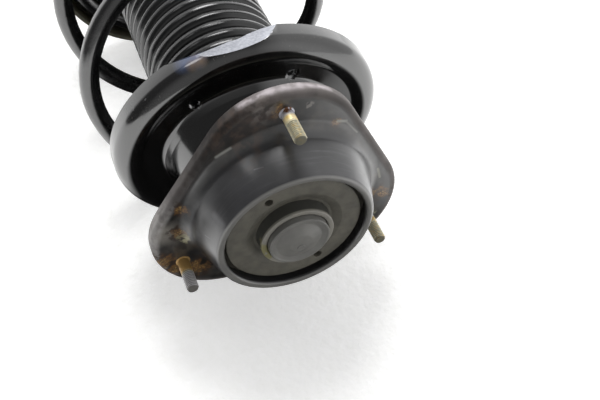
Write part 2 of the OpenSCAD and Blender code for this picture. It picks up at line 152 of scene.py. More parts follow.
def spun(outline, closed=True, steps=STEPS):
    """Spins an outline about the strut's axis."""
    bm = bmesh.new()
    verts = [bm.verts.new((p[0], p[1], 0)) for p in outline]
    ahead = verts[1:] + verts[:1] if closed else verts[1:]
    edges = [bm.edges.new(pair) for pair in zip(verts, ahead)]
    bmesh.ops.spin(
        bm, geom=verts + edges, cent=(0, 0, 0), axis=AXIS, angle=FULL_TURN, steps=steps, use_merge=True)
    bmesh.ops.remove_doubles(bm, verts=bm.verts, dist=WELD_MM)
    bmesh.ops.recalc_face_normals(bm, faces=bm.faces)
    return bm


def at(angle, radius, y):
    """A place round the strut, its angle in degrees from +X towards +Z."""
    return Matrix.Rotation(math.radians(-angle), 4, "Y") @ Vector((radius, y, 0))


print("a spin has", STEPS, "steps")

# %% [markdown]
# A finished mesh becomes a piece. Modelling in metres from the start would fill the outlines with zeros, so
# the change from millimetres comes here. The piece is shaded smooth with its sharp edges kept, and then it
# rides on its body and hides the plain solid that it stands for.

# %% From mesh to piece
MM = 0.001
SHARP_ANGLE = 38


def make_object(name, bm, materials, sharp=SHARP_ANGLE):
    """Turns a mesh in millimetres into an object in metres."""
    bmesh.ops.scale(bm, vec=(MM, MM, MM), verts=bm.verts)
    mesh = bpy.data.meshes.new(name)
    bm.to_mesh(mesh)
    bm.free()
    mesh.shade_smooth()
    mesh.set_sharp_from_angle(angle=math.radians(sharp))
    for material in materials:
        mesh.materials.append(material)
    made = bpy.data.objects.new(name, mesh)
    scene.collection.objects.link(made)
    return made


def stands_for(made, body, replaced):
    """Puts a piece on its body in place of a node of the exact model."""
    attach(made, body)
    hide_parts(replaced)
    print(made.name, len(made.data.polygons), "faces, rides", body)


print("edges sharper than", SHARP_ANGLE, "degrees stay sharp")

# %% [markdown]
# ## Tools for surfaces
# Colours are written as on screen and turned to linear light once. One function adds any node with its
# settings and links, so the lines below name the nodes that a reader would add by hand in the editor.

# %% Colours and nodes
def linear(code):
    """An sRGB hex value as linear red, green, blue and alpha."""
    parts = [int(code[i:i + 2], 16) / 255 for i in (1, 3, 5)]
    return [c / 12.92 if c <= 0.04045 else ((c + 0.055) / 1.055) ** 2.4 for c in parts] + [1]


def add_node(tree, kind, inputs, out=0, **settings):
    """Adds a shader node, sets or links its inputs, and returns one of its outputs."""
    made = tree.nodes.new("ShaderNode" + kind)
    for key, value in settings.items():
        setattr(made, key, value)
    for key, value in inputs.items():
        if isinstance(value, bpy.types.NodeSocket):
            tree.links.new(value, made.inputs[key])
        else:
            made.inputs[key].default_value = value
    return made.outputs[out]


print("middle grey is", round(linear("#808080")[0], 3), "in linear light")

# %% [markdown]
# A look is a material while it is being built. No real surface is one flat colour, so each starts with two
# colours that run into each other, a gloss that varies and a fine relief. Image textures could do the same,
# but noise in object coordinates needs no unwrapping, and its size is given in real millimetres. Wear comes
# on top: a mask is a number from 0 to 1 at every place, and a colour is laid where all its masks agree.

# %% A look and its layers
MOTTLE_RANGE = (0.35, 0.7)
NOISE_RANGE = (0.3, 0.7)
GLOSS_SIZE = 0.6


class Look:
    """A material with its node tree, its coordinates and its colour so far."""

    def __init__(self, name, colours, mottle_mm, rough, relief_mm, metallic=0):
        self.material = bpy.data.materials.new(name)
        self.material.use_nodes = True
        self.tree = self.material.node_tree
        self.shader = self.tree.nodes["Principled BSDF"]
        self.shader.inputs["Metallic"].default_value = metallic
        self.place = add_node(self.tree, "TexCoord", {}, out="Object")
        self.colour = linear(colours[0])
        self.lay(colours[1], self.spots(mottle_mm, *MOTTLE_RANGE))
        self.gloss = self.spots(mottle_mm * GLOSS_SIZE, *NOISE_RANGE, levels=rough, detail=5)
        self.tree.links.new(self.gloss, self.shader.inputs["Roughness"])
        width, height = relief_mm
        grain = add_node(self.tree, "TexNoise", {
            "Vector": self.place, "Scale": 1 / (width * MM), "Detail": 3})
        bump = add_node(self.tree, "Bump", {
            "Height": grain, "Distance": height * MM})
        self.tree.links.new(bump, self.shader.inputs["Normal"])

    def spots(self, size_mm, low, high, levels=(0, 1), detail=4, stretch=(1, 1, 1), seed=0):
        """Cloudy spots of a size: noise from low to high becomes the two levels."""
        place = add_node(self.tree, "Mapping", {
            "Vector": self.place, "Scale": stretch, "Location": (seed, 0, 0)})
        noise = add_node(self.tree, "TexNoise", {
            "Vector": place, "Scale": 1 / (size_mm * MM), "Detail": detail})
        return add_node(self.tree, "MapRange", {
            "Value": noise, "From Min": low, "From Max": high, "To Min": levels[0], "To Max": levels[1]})

    def lay(self, code, *masks):
        """Lays a colour over what is there, through the product of its masks."""
        share = masks[0]
        for mask in masks[1:]:
            share = add_node(self.tree, "Math", {0: share, 1: mask}, operation="MULTIPLY")
        self.colour = add_node(self.tree, "Mix", {
            0: share, 6: self.colour, 7: linear(code)}, out=2, data_type="RGBA")
        self.tree.links.new(self.colour, self.shader.inputs["Base Color"])


print("a look can be laid on")

# %% [markdown]
# ## Gloss black paint
# The tube and its brackets, the spring seat and the spring are steel dipped in black enamel. The film is
# thick and glossy with faint orange peel, so it mirrors the room softly. Plain black would look like a hole,
# so fine grey dust is laid where two sizes of spots meet.

# %% Three black paints
# Dipped enamel, a little dulled: dark with broad, soft highlights.
black = Look("gloss_black", ("#0b0b0c", "#141415"), 25, (0.24, 0.4), (2.2, 0.012))
black.lay("#4a4743", black.spots(0.9, 0.66, 0.72), black.spots(40, 0.45, 0.6))

# The same enamel, thick and clean: nearly a black mirror, which shows the bright wall as a band.
seat_paint = Look("seat_black", ("#090909", "#0f0f10"), 30, (0.1, 0.2), (2.2, 0.006))
seat_paint.lay("#57534d", seat_paint.spots(1.1, 0.64, 0.7), seat_paint.spots(45, 0.45, 0.6))

# The same enamel on wound wire: a narrow bright line runs along each turn.
spring_paint = Look("spring_black", ("#0a0a0b", "#121213"), 20, (0.16, 0.3), (1.6, 0.012))

STRONG_MIRROR = 2.0
for look in (seat_paint, spring_paint):
    look.shader.inputs["IOR"].default_value = STRONG_MIRROR
print("black paints with", len(seat_paint.tree.nodes), "nodes on the seat")

# %% [markdown]
# ## Grinding marks on the seat
# One side of the seat was ground off. The heat coloured the paint beside the cut blue and straw, and its edge
# is chipped to bright steel. The blue and straw stains are partly a painted glint of a lamp on the skirt.
# Painting by hand on an unwrapped seat would do too. Here a soft round mask stands for a heat stain and its
# painted glint, and a narrow mask along a line stands for a chip or a scratch.

# %% Masks round a point and along a line
STREAK_EDGE = 0.6


def near(look, point_mm, inner_mm, outer_mm):
    """1 within the inner distance of a point, fading to 0 at the outer one."""
    gap = add_node(look.tree, "VectorMath", {
        0: look.place, 1: [c * MM for c in point_mm]}, out="Value", operation="DISTANCE")
    return add_node(look.tree, "MapRange", {
        "Value": gap, "From Min": inner_mm * MM, "From Max": outer_mm * MM, "To Min": 1, "To Max": 0})


def away(look, *lines):
    """Distance to the nearest of some lines, each between two points."""
    nearest = None
    for start_mm, end_mm in lines:
        start = Vector(start_mm) * MM
        run = Vector(end_mm) * MM - start
        from_start = add_node(look.tree, "VectorMath", {
            0: look.place, 1: start}, operation="SUBTRACT")
        passed = add_node(look.tree, "VectorMath", {
            0: from_start, 1: run / run.length_squared}, out="Value", operation="DOT_PRODUCT")
        held = add_node(look.tree, "MapRange", {"Value": passed})
        foot = add_node(look.tree, "VectorMath", {0: run, "Scale": held}, operation="SCALE")
        gap = add_node(look.tree, "VectorMath", {
            0: from_start, 1: foot}, out="Value", operation="DISTANCE")
        if nearest is not None:
            gap = add_node(look.tree, "Math", {0: nearest, 1: gap}, operation="MINIMUM")
        nearest = gap
    return nearest


def streak(look, start_mm, end_mm, width_mm, core=0.3):
    """A narrow mark from one point to another, such as a scratch or a rub."""
    return add_node(look.tree, "MapRange", {
        "Value": away(look, (start_mm, end_mm)), "From Min": width_mm * MM * core,
        "From Max": width_mm * MM * STREAK_EDGE, "To Min": 1, "To Max": 0})


print("masks: near a point, away from lines, along a streak")

# %% Heat stains with a painted glint, and chips
# Each stain has a place, a reach, a colour and a share; the blue and straw ones are partly a painted glint.
BURNS_AND_GLINT = (
    ((-39, 51.4, 82), 8, "#586587", 0.75),
    ((-32, 49.6, 84.6), 8, "#66759c", 0.75),
    ((-35, 47, 82.4), 5, "#8a6f45", 0.55),
    ((-30, 46.4, 84.4), 5, "#957a4e", 0.55),
    ((-32, 53.6, 85.4), 4, "#7d6a60", 0.8),
)
for point, reach, code, share in BURNS_AND_GLINT:
    seat_paint.lay(code, near(seat_paint, point, 0, reach), share)

# Each chip has its two ends, a width and a colour.
CHIPS = (
    ((-3.9, 44.3, 88.6), (2.5, 45.2, 89.3), 0.7, "#a9abb0"),
    ((2.5, 45.2, 89.3), (9.6, 47.6, 89.7), 0.9, "#d2d4d8"),
    ((9.6, 47.6, 89.7), (14.9, 50.6, 89.5), 0.9, "#d2d4d8"),
    ((-72.4, 53.2, 54), (-71.8, 53.6, 55), 1.2, "#58585a"),
    ((-64.8, 50.2, 62.2), (-64.3, 50.3, 63), 1, "#58585a"),
)
for start, end, width, code in CHIPS:
    seat_paint.lay(code, streak(seat_paint, start, end, width))
print(len(BURNS_AND_GLINT), "heat stains,", len(CHIPS), "chips")

# %% [markdown]
# ## The mount's paint
# The mount is dark grey, satin-painted steel. Water stands on its flange and along the folded lip, so the
# film there is weathered. The masks follow the flange's own shape: its flat is found by height, and its fold
# by the distance from the triangle between the centres of its three round corners.

# %% Where the flange is flat and where it folds
STUD_TURNS = (86, 206, 326)
STUD_CIRCLE = 73.4
CORNER_AT = 37
studs_at = [at(a, STUD_CIRCLE, 0) for a in STUD_TURNS]
corners = [at(a, CORNER_AT, 0) for a in STUD_TURNS]

# Sprayed satin paint, clear on top: a soft sheen that weathers to matt.
mount_paint = Look("mount_paint", ("#2b2b2d", "#37373a"), 18, (0.28, 0.38), (0.9, 0.012))
mount_paint.shader.inputs["Coat Roughness"].default_value = 0.2
mount_paint.shader.inputs["IOR"].default_value = 1.8


def along(look, low_mm, high_mm):
    """0 up to one place along the strut, rising to 1 at another."""
    place = add_node(look.tree, "SeparateXYZ", {0: look.place}, out="Y")
    return add_node(look.tree, "MapRange", {
        "Value": place, "From Min": low_mm * MM, "From Max": high_mm * MM})


flat = along(mount_paint, -4, -1)
sides = [(corners[a], corners[a - 2]) for a in range(3)]
outward = away(mount_paint, *sides)
fold, edge_in, edge_out = [
    add_node(mount_paint.tree, "MapRange", {
        "Value": outward, "From Min": low * MM, "From Max": high * MM, "To Min": first, "To Max": 1 - first})
    for low, high, first in ((44.8, 47.8, 0), (41, 44, 0), (45.5, 47, 1))]
print("three masks from the flange's shape")

# %% [markdown]
# Two sizes of cloudy spots stand for crust and for flaked film. Masks could have spots of their own, but
# sharing these two breaks up every mark in the same way, as on one film.

# %% Weathered film on flat and lip, painted shade inside the fold, painted light on the cup's rim
crust = mount_paint.spots(9, 0.38, 0.66, detail=9)
flaked = mount_paint.spots(4, 0.42, 0.66, detail=10, seed=3)
thin_crust, thin_flakes, pale_flakes = [
    add_node(mount_paint.tree, "MapRange", {"Value": mask, "To Min": most, "To Max": least})
    for mask, most, least in ((crust, 1, 0.5), (flaked, 1, 0.4), (flaked, 0.9, 0.4))]
left_side = near(mount_paint, at(122, 84, 2), 20, 52)
mount_paint.lay("#504c46", flat, crust)
mount_paint.lay("#262523", flat, mount_paint.spots(14, 0.48, 0.6, detail=8, seed=5))
# Painted shade: a dark band on the flat just inside the fold, broken up by the crust.
mount_paint.lay("#161514", flat, edge_in, edge_out, crust)
# Painted light: the cup's rim face is painted lighter, as it catches the light.
mount_paint.lay("#7b7a77", along(mount_paint, -29, -29.8))
mount_paint.lay("#6f6967", fold, thin_crust)
mount_paint.lay("#3c302a", fold, flaked, left_side)
FOLD_ROUGH = 0.6
rough_fold = add_node(mount_paint.tree, "Mix", {0: fold, 2: mount_paint.gloss, 3: FOLD_ROUGH})
mount_paint.tree.links.new(rough_fold, mount_paint.shader.inputs["Roughness"])
print("weathered film,", len(mount_paint.tree.nodes), "nodes so far")

# %% [markdown]
# Grease, dirt and rubbed places change the flange from one side to the other, and painted shade darkens its
# upper left, the foot of the cup on the left and the flange inside the top stud, where the stud's shadow
# falls.
# A few broad tones do that, each round a point. The lip's outer edge is rubbed pale, and along the top that
# pale band is partly a painted highlight. Fine drawing lines show on the cup.

# %% Broad tones with painted shade, rubbed edges with a painted highlight, and drawing lines
# Each tone has an angle, a radius, an inner and an outer distance, a colour and a share.
TONES = (
    # Painted shade: these two darken the upper left, where less light falls.
    (120, 66, 14, 44, "#100f0e", 0.9),
    (122, 84, 12, 34, "#1d1714", 0.9),
    (100, 80, 4, 22, "#3a2f29", 0.6),
    # Painted shade at the cup's foot on the left.
    (165, 60, 6, 24, "#151516", 0.7),
    (55, 76, 8, 34, "#55524f", 0.3),
    (181, 74, 3, 13, "#98938a", 0.85),
    # Painted shadow of the top stud on the flange inside it.
    (84, 67, 6, 20, "#131313", 0.8),
    (62, 72, 4, 16, "#1c1b1b", 0.6),
)
sheet_top = along(mount_paint, -6, -2)
for turn, radius, inner, outer, code, share in TONES:
    tone = near(mount_paint, at(turn, radius, 0), inner, outer)
    mount_paint.lay(code, tone, sheet_top, thin_crust, share)

# Each rub, a pale band along the top of the lip that is partly a painted highlight, has its two ends as
# angle, radius and height, and a width.
RUBS_AND_HIGHLIGHTS = (
    ((104, 85, 6), (92, 87.3, 6), 6),
    ((92, 87.3, 6), (80, 87.3, 6), 7),
    ((80, 87.3, 6), (66, 85.2, 6), 5),
)
for start, end, width in RUBS_AND_HIGHLIGHTS:
    mount_paint.lay("#b4acaf", streak(mount_paint, at(*start), at(*end), width, 0), thin_flakes)

drawn_lines = mount_paint.spots(1.6, 0.5, 0.8, stretch=(0.05, 1, 0.05))
worn_areas = mount_paint.spots(14, 0.4, 0.7, seed=2)
mount_paint.lay("#57575b", along(mount_paint, -10, -14), drawn_lines, worn_areas)
mount_paint.lay("#a8a5a3", fold, near(mount_paint, at(180, 80, 3), 8, 30), pale_flakes)
print(len(TONES), "tones,", len(RUBS_AND_HIGHLIGHTS), "rubs")

# %% [markdown]
# The fold, the foot of the cup and a place beside it have lost their sheen, and the foot is painted near
# black as painted shade where the cup meets the flange. A rougher paint would still shine at a low angle, so
# there the clear coat and the mirror both fade out.

# %% Places without sheen, and painted shade at the cup's foot
shaded_cup_foot = streak(mount_paint, (-52, -15, 18), (-55, -14, -18), 20, 0)
# Painted shade: the cup's foot is darkened where it meets the flange.
mount_paint.lay("#0c0c0d", shaded_cup_foot, 0.85)
matt = fold
for mask in (shaded_cup_foot, near(mount_paint, at(166, 60, -2), 6, 24)):
    matt = add_node(mount_paint.tree, "Math", {0: matt, 1: mask}, operation="MAXIMUM")
for name, full, faded in (("Coat Weight", 0.3, 0), ("Specular IOR Level", 0.5, 0.15)):
    sheen = add_node(mount_paint.tree, "MapRange", {"Value": matt, "To Min": full, "To Max": faded})
    mount_paint.tree.links.new(sheen, mount_paint.shader.inputs[name])
print("sheen fades in three places")

# %% [markdown]
# ## Rust
# Where stones broke the film, rust spreads under it: a dark brown rim, a stain, then coarse and fine grains
# of brown and ochre. One flat orange would look painted on. So each patch is laid four times, smaller and
# lighter each time, and its ragged edge comes from noise.

# %% Patches of rust
RAGGED = (0.1, 1.9)
PATCH_EDGE = (0.4, 0.7)


def patch(look, point_mm, reach_mm, grain_mm):
    """A ragged patch round a point, as rust or bare metal spreads."""
    edge = look.spots(grain_mm, *NOISE_RANGE, levels=RAGGED, detail=8)
    spread = add_node(look.tree, "Math", {
        0: near(look, point_mm, 0, reach_mm), 1: edge}, operation="MULTIPLY")
    return add_node(look.tree, "MapRange", {
        "Value": spread, "From Min": PATCH_EDGE[0], "From Max": PATCH_EDGE[1]})


RUST = (
    ((-62.7, 0, 17.1), 7), ((-66.1, 0, -3.4), 8), ((-78, 2, -28.2), 12), ((-57, 0, -42), 13),
    ((-71, 0, -38), 9), (at(STUD_TURNS[0] + 4, STUD_CIRCLE + 2.5, 0), 8), ((-48.5, 2, 63), 8),
    ((36, 0, 56), 5), ((67, 0, -20), 9), ((71.6, 0, -23.4), 7),
)
coarse = mount_paint.spots(1.6, 0.4, 0.62, detail=7)
fine = mount_paint.spots(1.1, 0.46, 0.66, detail=7, seed=4)
# Each layer has its share of the reach, the grain of its edge, a colour and a second mask.
RUST_LAYERS = (
    (1.6, 5, "#3a2d25", 1), (1.2, 4, "#5a4129", 0.7), (1.1, 4, "#7d5a30", coarse), (0.8, 3, "#b08f52", fine))
for point, reach in RUST:
    for spread, grain, code, mask in RUST_LAYERS:
        mount_paint.lay(code, patch(mount_paint, point, reach * spread, grain), mask)
print(len(RUST), "patches of rust")

# %% [markdown]
# ## Bare places and scrapes
# Last come the marks of handling: pale bare patches round the studs, two dark ones, blotches that are worn
# through, and scrapes. They are laid last, so they lie on top of the rust.

# %% Bare patches, worn blotches and scrapes
PATCHES = (
    ((-63.5, 0, -8), 7, 3, "#8a8466"),
    ((-62, 0, -12), 6, 3, "#a7a384"),
    (studs_at[2], 12, 3, "#8b8974"),
    ((19, 0, 75), 4.5, 3, "#77736f"),
    ((-66, 0, -17), 8, 5, "#2b2c2e"),
    ((-50, 0, -38), 12, 6, "#1d1a18"),
)
for point, reach, grain, code in PATCHES:
    mount_paint.lay(code, patch(mount_paint, point, reach, grain))

WORN = (((-22, 0, 66), 6, 26, 6, "#4a3b32"), ((-8, 0, 80), 3, 14, 5, "#6f6864"))
for point, inner, outer, grain, code in WORN:
    blotches = mount_paint.spots(grain, 0.46, 0.62, detail=9, seed=7)
    mount_paint.lay(code, near(mount_paint, point, inner, outer), blotches)

SCRAPES = (
    ((-37.7, 0, 53.6), (-29.1, 0, 57.7), 2.4, "#9c9c96"),
    ((36.7, 0, 55.8), (41.8, 0, 54), 2.6, "#a4a49d"),
    ((41.8, 0, 54), (49.5, 0, 42.1), 1.6, "#85837c"),
    ((66, 0, 3), (68, 0, -6), 2, "#959385"),
    ((-46, -19, 27), (-43.5, -26, 26), 5, "#5a5a5d"),
    ((-53.3, -18, 10.4), (-51, -25, 12), 0.8, "#6f6f73"),
    ((-20, -15, 51.5), (-15, -16, 52.5), 1, "#707074"),
    ((-18, -17, 51.2), (-14, -17.5, 51.8), 0.8, "#66666a"),
)
for start, end, width, code in SCRAPES:
    mount_paint.lay(code, streak(mount_paint, start, end, width, 0))
print("mount paint with", len(mount_paint.tree.nodes), "nodes")

# %% [markdown]
# ## Rubber, foam and plastic
# These are moulded, so their skin copies the mould: fine texture, and dull or glossy as the mould was. The
# mount's rubber is also dusty, which makes it a lighter olive grey than clean rubber. One recipe serves for
# all of them, because they differ only in colour, gloss and grain.

# %% Moulded looks
# Moulded rubber under dust: pale, dull and grainy.
rubber = Look("rubber", ("#5e5c54", "#6e6b61"), 7, (0.5, 0.7), (0.8, 0.05))
# Blow-moulded rubber with a smooth skin: black ribs with a clear highlight on each.
boot_rubber = Look("boot_rubber", ("#0d0e0f", "#151617"), 14, (0.2, 0.26), (6, 0.004))
boot_rubber.shader.inputs["IOR"].default_value = 1.65
# Pressed rubber: dark and dull.
pad_rubber = Look("pad_rubber", ("#1b1c1d", "#26272a"), 8, (0.6, 0.75), (0.8, 0.03))
# Cast polyurethane foam with fine cells: cream and quite matt.
foam = Look("foam", ("#c5b88c", "#b3a474"), 6, (0.75, 0.9), (1.2, 0.15))
# Moulded grey plastic, handled: a soft highlight on the dome.
cap_grey = Look("cap_grey", ("#767572", "#82817d"), 10, (0.36, 0.46), (0.7, 0.008))
# Filled sliding plastic: dark green with little shine.
plastic = Look("ring_plastic", ("#3f4a3c", "#333d31"), 6, (0.4, 0.55), (0.8, 0.01))
print(len(bpy.data.materials), "materials so far")

# %% [markdown]
# ## Metals
# Inside the strut are turned, ground, cast and sintered metals, and they differ mostly in roughness. Outside,
# the boss is dull dirty steel, the perch is painted, and the bevel of the seat is coarsely ground, so it
# scatters the light and needs only half of a metal's mirror.

# %% Metal looks
# Turned steel under a film of dirt: grey and nearly without reflections.
boss_steel = Look("boss_steel", ("#8f8d86", "#98948a"), 9, (0.38, 0.5), (0.6, 0.012))
# Painted shade: the boss is dark below its top face, in the recess round it and in the gap at the cap.
boss_steel.lay("#474743", along(boss_steel, -30.4, -29.6))
boss_steel.lay("#8a855f", patch(boss_steel, (-21, -31.6, -5), 16, 5))
# Brushed-on paint over steel: olive grey, uneven in gloss.
perch_paint = Look("perch_paint", ("#565446", "#686453"), 16, (0.35, 0.6), (1.2, 0.02))
# Steel ground with a coarse disc: pale, broken up by fine marks.
ground_steel = Look("ground_steel", ("#95979d", "#7a7c83"), 1.5, (0.4, 0.56), (0.4, 0.02), metallic=0.5)
# Turned and ground steel: grey with clear reflections.
bare_steel = Look("bare_steel", ("#9a9a9a", "#86888a"), 5, (0.28, 0.42), (0.5, 0.01), metallic=1)
# Hard chrome, polished: a bright mirror.
chrome = Look("chrome", ("#c9ccd0", "#bfc2c6"), 20, (0.05, 0.1), (3, 0.002), metallic=1)
# Sintered iron with fine pores: dark grey and dull.
iron = Look("sintered_iron", ("#6b6a66", "#595854"), 3, (0.45, 0.6), (0.4, 0.03), metallic=0.8)
# Die-cast aluminium alloy: light grey with a satin skin.
alloy = Look("alloy", ("#a2a3a0", "#8f908c"), 6, (0.35, 0.5), (0.6, 0.015), metallic=1)
# Stamped brass: warm yellow with soft reflections.
brass = Look("brass", ("#b08a3c", "#8f6d2c"), 5, (0.25, 0.4), (0.8, 0.01), metallic=1)
print(len(bpy.data.materials), "materials so far")

# %% [markdown]
# ## Yellow zinc on the studs
# The studs are plated with zinc and passivated, which gives a pale gold film. It is rubbed to grey at the
# foot and on the crests of the thread, and the thread's roots are darkened as painted shade. The masks go
# by height along the stud and by the distance from the studs' own axes. One stud is a stronger gold below its
# thread, and one has a rusty foot.

# %% The studs' zinc
# Electroplated zinc, passivated yellow: pale gold with a weak metal shine.
zinc = Look("yellow_zinc", ("#ece2bd", "#ecca7c"), 4, (0.3, 0.46), (0.5, 0.01), metallic=0.15)
zinc.lay("#cfcfd8", along(zinc, -5.5, -3.5))
zinc.lay("#c6c4ae", along(zinc, -8, -9.5), zinc.spots(1.5, 0.3, 0.6))
gold_stud = near(zinc, studs_at[1], 30, 34)
zinc.lay("#d2aa68", gold_stud, along(zinc, -11, -9))
zinc.lay("#c4c2c4", gold_stud, along(zinc, -10, -12))
STUD_TOP = Vector((0, -30, 0))
from_axis = away(zinc, *[(foot, foot + STUD_TOP) for foot in studs_at])
shaded_roots = add_node(zinc.tree, "MapRange", {
    "Value": from_axis, "From Min": 3.4 * MM, "From Max": 3.7 * MM, "To Min": 0.8, "To Max": 0})
# Painted shade: the roots of the thread are darkened.
zinc.lay("#4f4c40", along(zinc, -8.4, -9.2), shaded_roots)
zinc.lay("#7a5236", patch(zinc, studs_at[0] + Vector((0, 0, 5)), 6.5, 2))
print("zinc with", len(zinc.tree.nodes), "nodes")

# %% [markdown]
# ## The mount: flange and cup
# This is one deep-drawn pressing: a conical cup flares into a three-cornered flange, whose edge is folded
# down into a lip. A triangle could be extruded and joined to a cone, but then the fold would need bevels that
# meet badly. So the pressing is spun round, and its outer part is drawn in to the rounded triangle. The sheet
# and the fold stay the same all round.

# %% Drawing a round pressing in to a triangle
CUP_FOOT = 57.5
FLARE = 9
FLARE_END = CUP_FOOT + FLARE
SHEET = 4.5
LIP = 9
FOLD = 4
INNER_FOLD = 2
SLACK = 0.1
CORNER_R = 50.5
REACH = CORNER_AT + CORNER_R
SIDE = CORNER_AT / 2 + CORNER_R
SIXTH = math.pi / 3
TANGENT = math.atan2(CORNER_R * math.sin(SIXTH), CORNER_AT + CORNER_R / 2)


def flange_edge(angle):
    """Distance from the axis to the flange's outline, angle in radians from a stud."""
    off = abs((angle + SIXTH) % (2 * SIXTH) - SIXTH)
    if off < TANGENT:
        across = CORNER_AT * math.sin(off)
        return CORNER_AT * math.cos(off) + math.sqrt(CORNER_R ** 2 - across ** 2)
    return SIDE / math.cos(SIXTH - off)


def draw_in(r, y, edge):
    """Moves a radius of the round pressing to where the triangle has it."""
    under = y > SHEET - SLACK and r < REACH - SHEET + 2 * SLACK
    keep = REACH - SHEET - INNER_FOLD if under else REACH - FOLD
    if r >= keep:
        return r - REACH + edge
    if r <= CUP_FOOT:
        return r
    end = edge - REACH + keep
    if under:
        return CUP_FOOT + (r - CUP_FOOT) * (end - CUP_FOOT) / (keep - CUP_FOOT)
    foot = min(FLARE_END, end)
    if r <= FLARE_END:
        return CUP_FOOT + (r - CUP_FOOT) * (foot - CUP_FOOT) / FLARE
    return foot + (r - FLARE_END) * (end - foot) / (keep - FLARE_END)


print("flange reaches", REACH, "mm at a stud and", SIDE, "mm between two")

# %% Flange and cup
WIDE_STEPS = 192
plate = spun(rounded(
    [(44.4, -30, 2.4), (50, -30, 2.4)] + arc((FLARE_END, -FLARE), FLARE, 180, 90)
    + [(REACH, 0, FOLD), (REACH, LIP, 0.8), (REACH - SHEET, LIP, 0.8), (REACH - SHEET, SHEET, 1.5),
       (CUP_FOOT - SHEET, SHEET, 2), (CUP_FOOT - SHEET, -FLARE, 0)], 6), steps=WIDE_STEPS)
for v in plate.verts:
    r = math.hypot(v.co.x, v.co.z)
    turn = math.atan2(v.co.z, v.co.x)
    drawn = draw_in(r, v.co.y, flange_edge(turn - math.radians(STUD_TURNS[0]))) / r
    v.co.x *= drawn
    v.co.z *= drawn
mount_plate = make_object("mount_flange", plate, [mount_paint.material])
stands_for(mount_plate, "mount", "mount_plate")

# %% [markdown]
# ## Studs
# Three M8 studs are pressed in from below, and a thread is rolled on the outer half of each. A bump map
# would leave the outline smooth, and the studs are seen from the side. So each is spun with fine rows, and
# the rows are then drawn in along a helix.

# %% Threaded studs
STUD_R = 3.9
ROW = 0.125
THREAD_START = -8.5
THREAD_PITCH = 1.25
THREAD_DEPTH = 0.55
RUN_IN = 1.5
STUD_STEPS = 40
rows = [(STUD_R, -ROW * k, 0) for k in range(7, 177)]
stud = rounded([(0, 4.5, 0), (4.7, 4.5, 0), (4.7, -0.4, 0.4), (STUD_R, -0.7, 0)] + rows
               + [(3.2, -23, 0.2), (0, -23, 0)])


def thread(bm):
    """Winds a thread into the outer half of a stud."""
    for v in bm.verts:
        r = math.hypot(v.co.x, v.co.z)
        if r < STUD_R - SLACK or v.co.y > THREAD_START:
            continue
        turn = math.atan2(v.co.z, v.co.x) / FULL_TURN
        phase = (v.co.y / THREAD_PITCH + turn) % 1
        depth = THREAD_DEPTH * min(1, (THREAD_START - v.co.y) / RUN_IN)
        cut = 1 - depth * abs(2 * phase - 1) / r
        v.co.x *= cut
        v.co.z *= cut


studs = bmesh.new()
for place in studs_at:
    one = spun(stud, closed=False, steps=STUD_STEPS)
    thread(one)
    bmesh.ops.translate(one, vec=place, verts=one.verts)
    spare = bpy.data.meshes.new("spare")
    one.to_mesh(spare)
    one.free()
    studs.from_mesh(spare)
    bpy.data.meshes.remove(spare)
threaded_studs = make_object("threaded_studs", studs, [zinc.material])
stands_for(threaded_studs, "mount", "mount_studs")

# %% [markdown]
# ## Rubber in the cup
# Rubber is moulded between the cup and the bearing carrier, with a narrow gap round its face and two vents.
# The gap is part of the spun outline. Holes off the axis can't be spun, so they are cut with a boolean, whose
# result is kept as the mesh.

# %% Pins and holes
def add_pin(bm, place, radius_1, radius_2, depth, segments=32):
    """Adds a cylinder or cone along the strut, its middle placed by a matrix."""
    made = bmesh.ops.create_cone(
        bm, segments=segments, radius1=radius_1, radius2=radius_2, depth=depth, cap_ends=True)
    turned = place @ Matrix.Rotation(math.pi / 2, 4, "X")
    bmesh.ops.transform(bm, matrix=turned, verts=made["verts"])


def drill(target, bm):
    """Cuts holes with the shapes in bm, in millimetres, and keeps the result as the mesh."""
    cutter = make_object("cutter", bm, [])
    cut = target.modifiers.new("holes", "BOOLEAN")
    cut.object = cutter
    cut.solver = "EXACT"
    bpy.context.view_layer.update()
    evaluated = target.evaluated_get(bpy.context.evaluated_depsgraph_get())
    drilled = bpy.data.meshes.new_from_object(evaluated)
    target.modifiers.clear()
    target.data = drilled
    drilled.set_sharp_from_angle(angle=math.radians(SHARP_ANGLE))
    bpy.data.objects.remove(cutter)
    print(target.name, "drilled,", len(drilled.polygons), "faces")


# %% Moulded rubber
FACE = -25.3
VENT_TURNS = (116, 296)
VENT_CIRCLE = 35.4
VENT_R = 2.7
face = rounded([
    (23.5, -22.6, 0), (25.4, -22.6, 1), (31, FACE, 2), (43.2, FACE, 0.7), (43.6, -17, 1), (49.6, -17, 0.5),
    (53, -9, 0), (53, 3, 0.8), (48, 3, 2), (46, -3, 2), (36, -3, 2), (34, 2, 1), (32, 2, 0), (32, -4, 0),
    (23.5, -4, 0)])
mount_rubber = make_object("moulded_rubber", spun(face), [rubber.material])
vents = bmesh.new()
for a in VENT_TURNS:
    add_pin(vents, Matrix.Translation(at(a, VENT_CIRCLE, FACE)), VENT_R, VENT_R, 18, segments=24)
drill(mount_rubber, vents)
stands_for(mount_rubber, "mount", "mount_rubber")

# %% [markdown]
# ## Boss and cap
# The carrier's boss is turned from steel and stands up through the rubber. Inside it has the bearing's seat
# and a groove for the circlip, which the outline follows too. A moulded, domed cap closes it, with a groove
# round the dome. The small disc where the mould was filled sits off the axis, so it is a pin of its own.

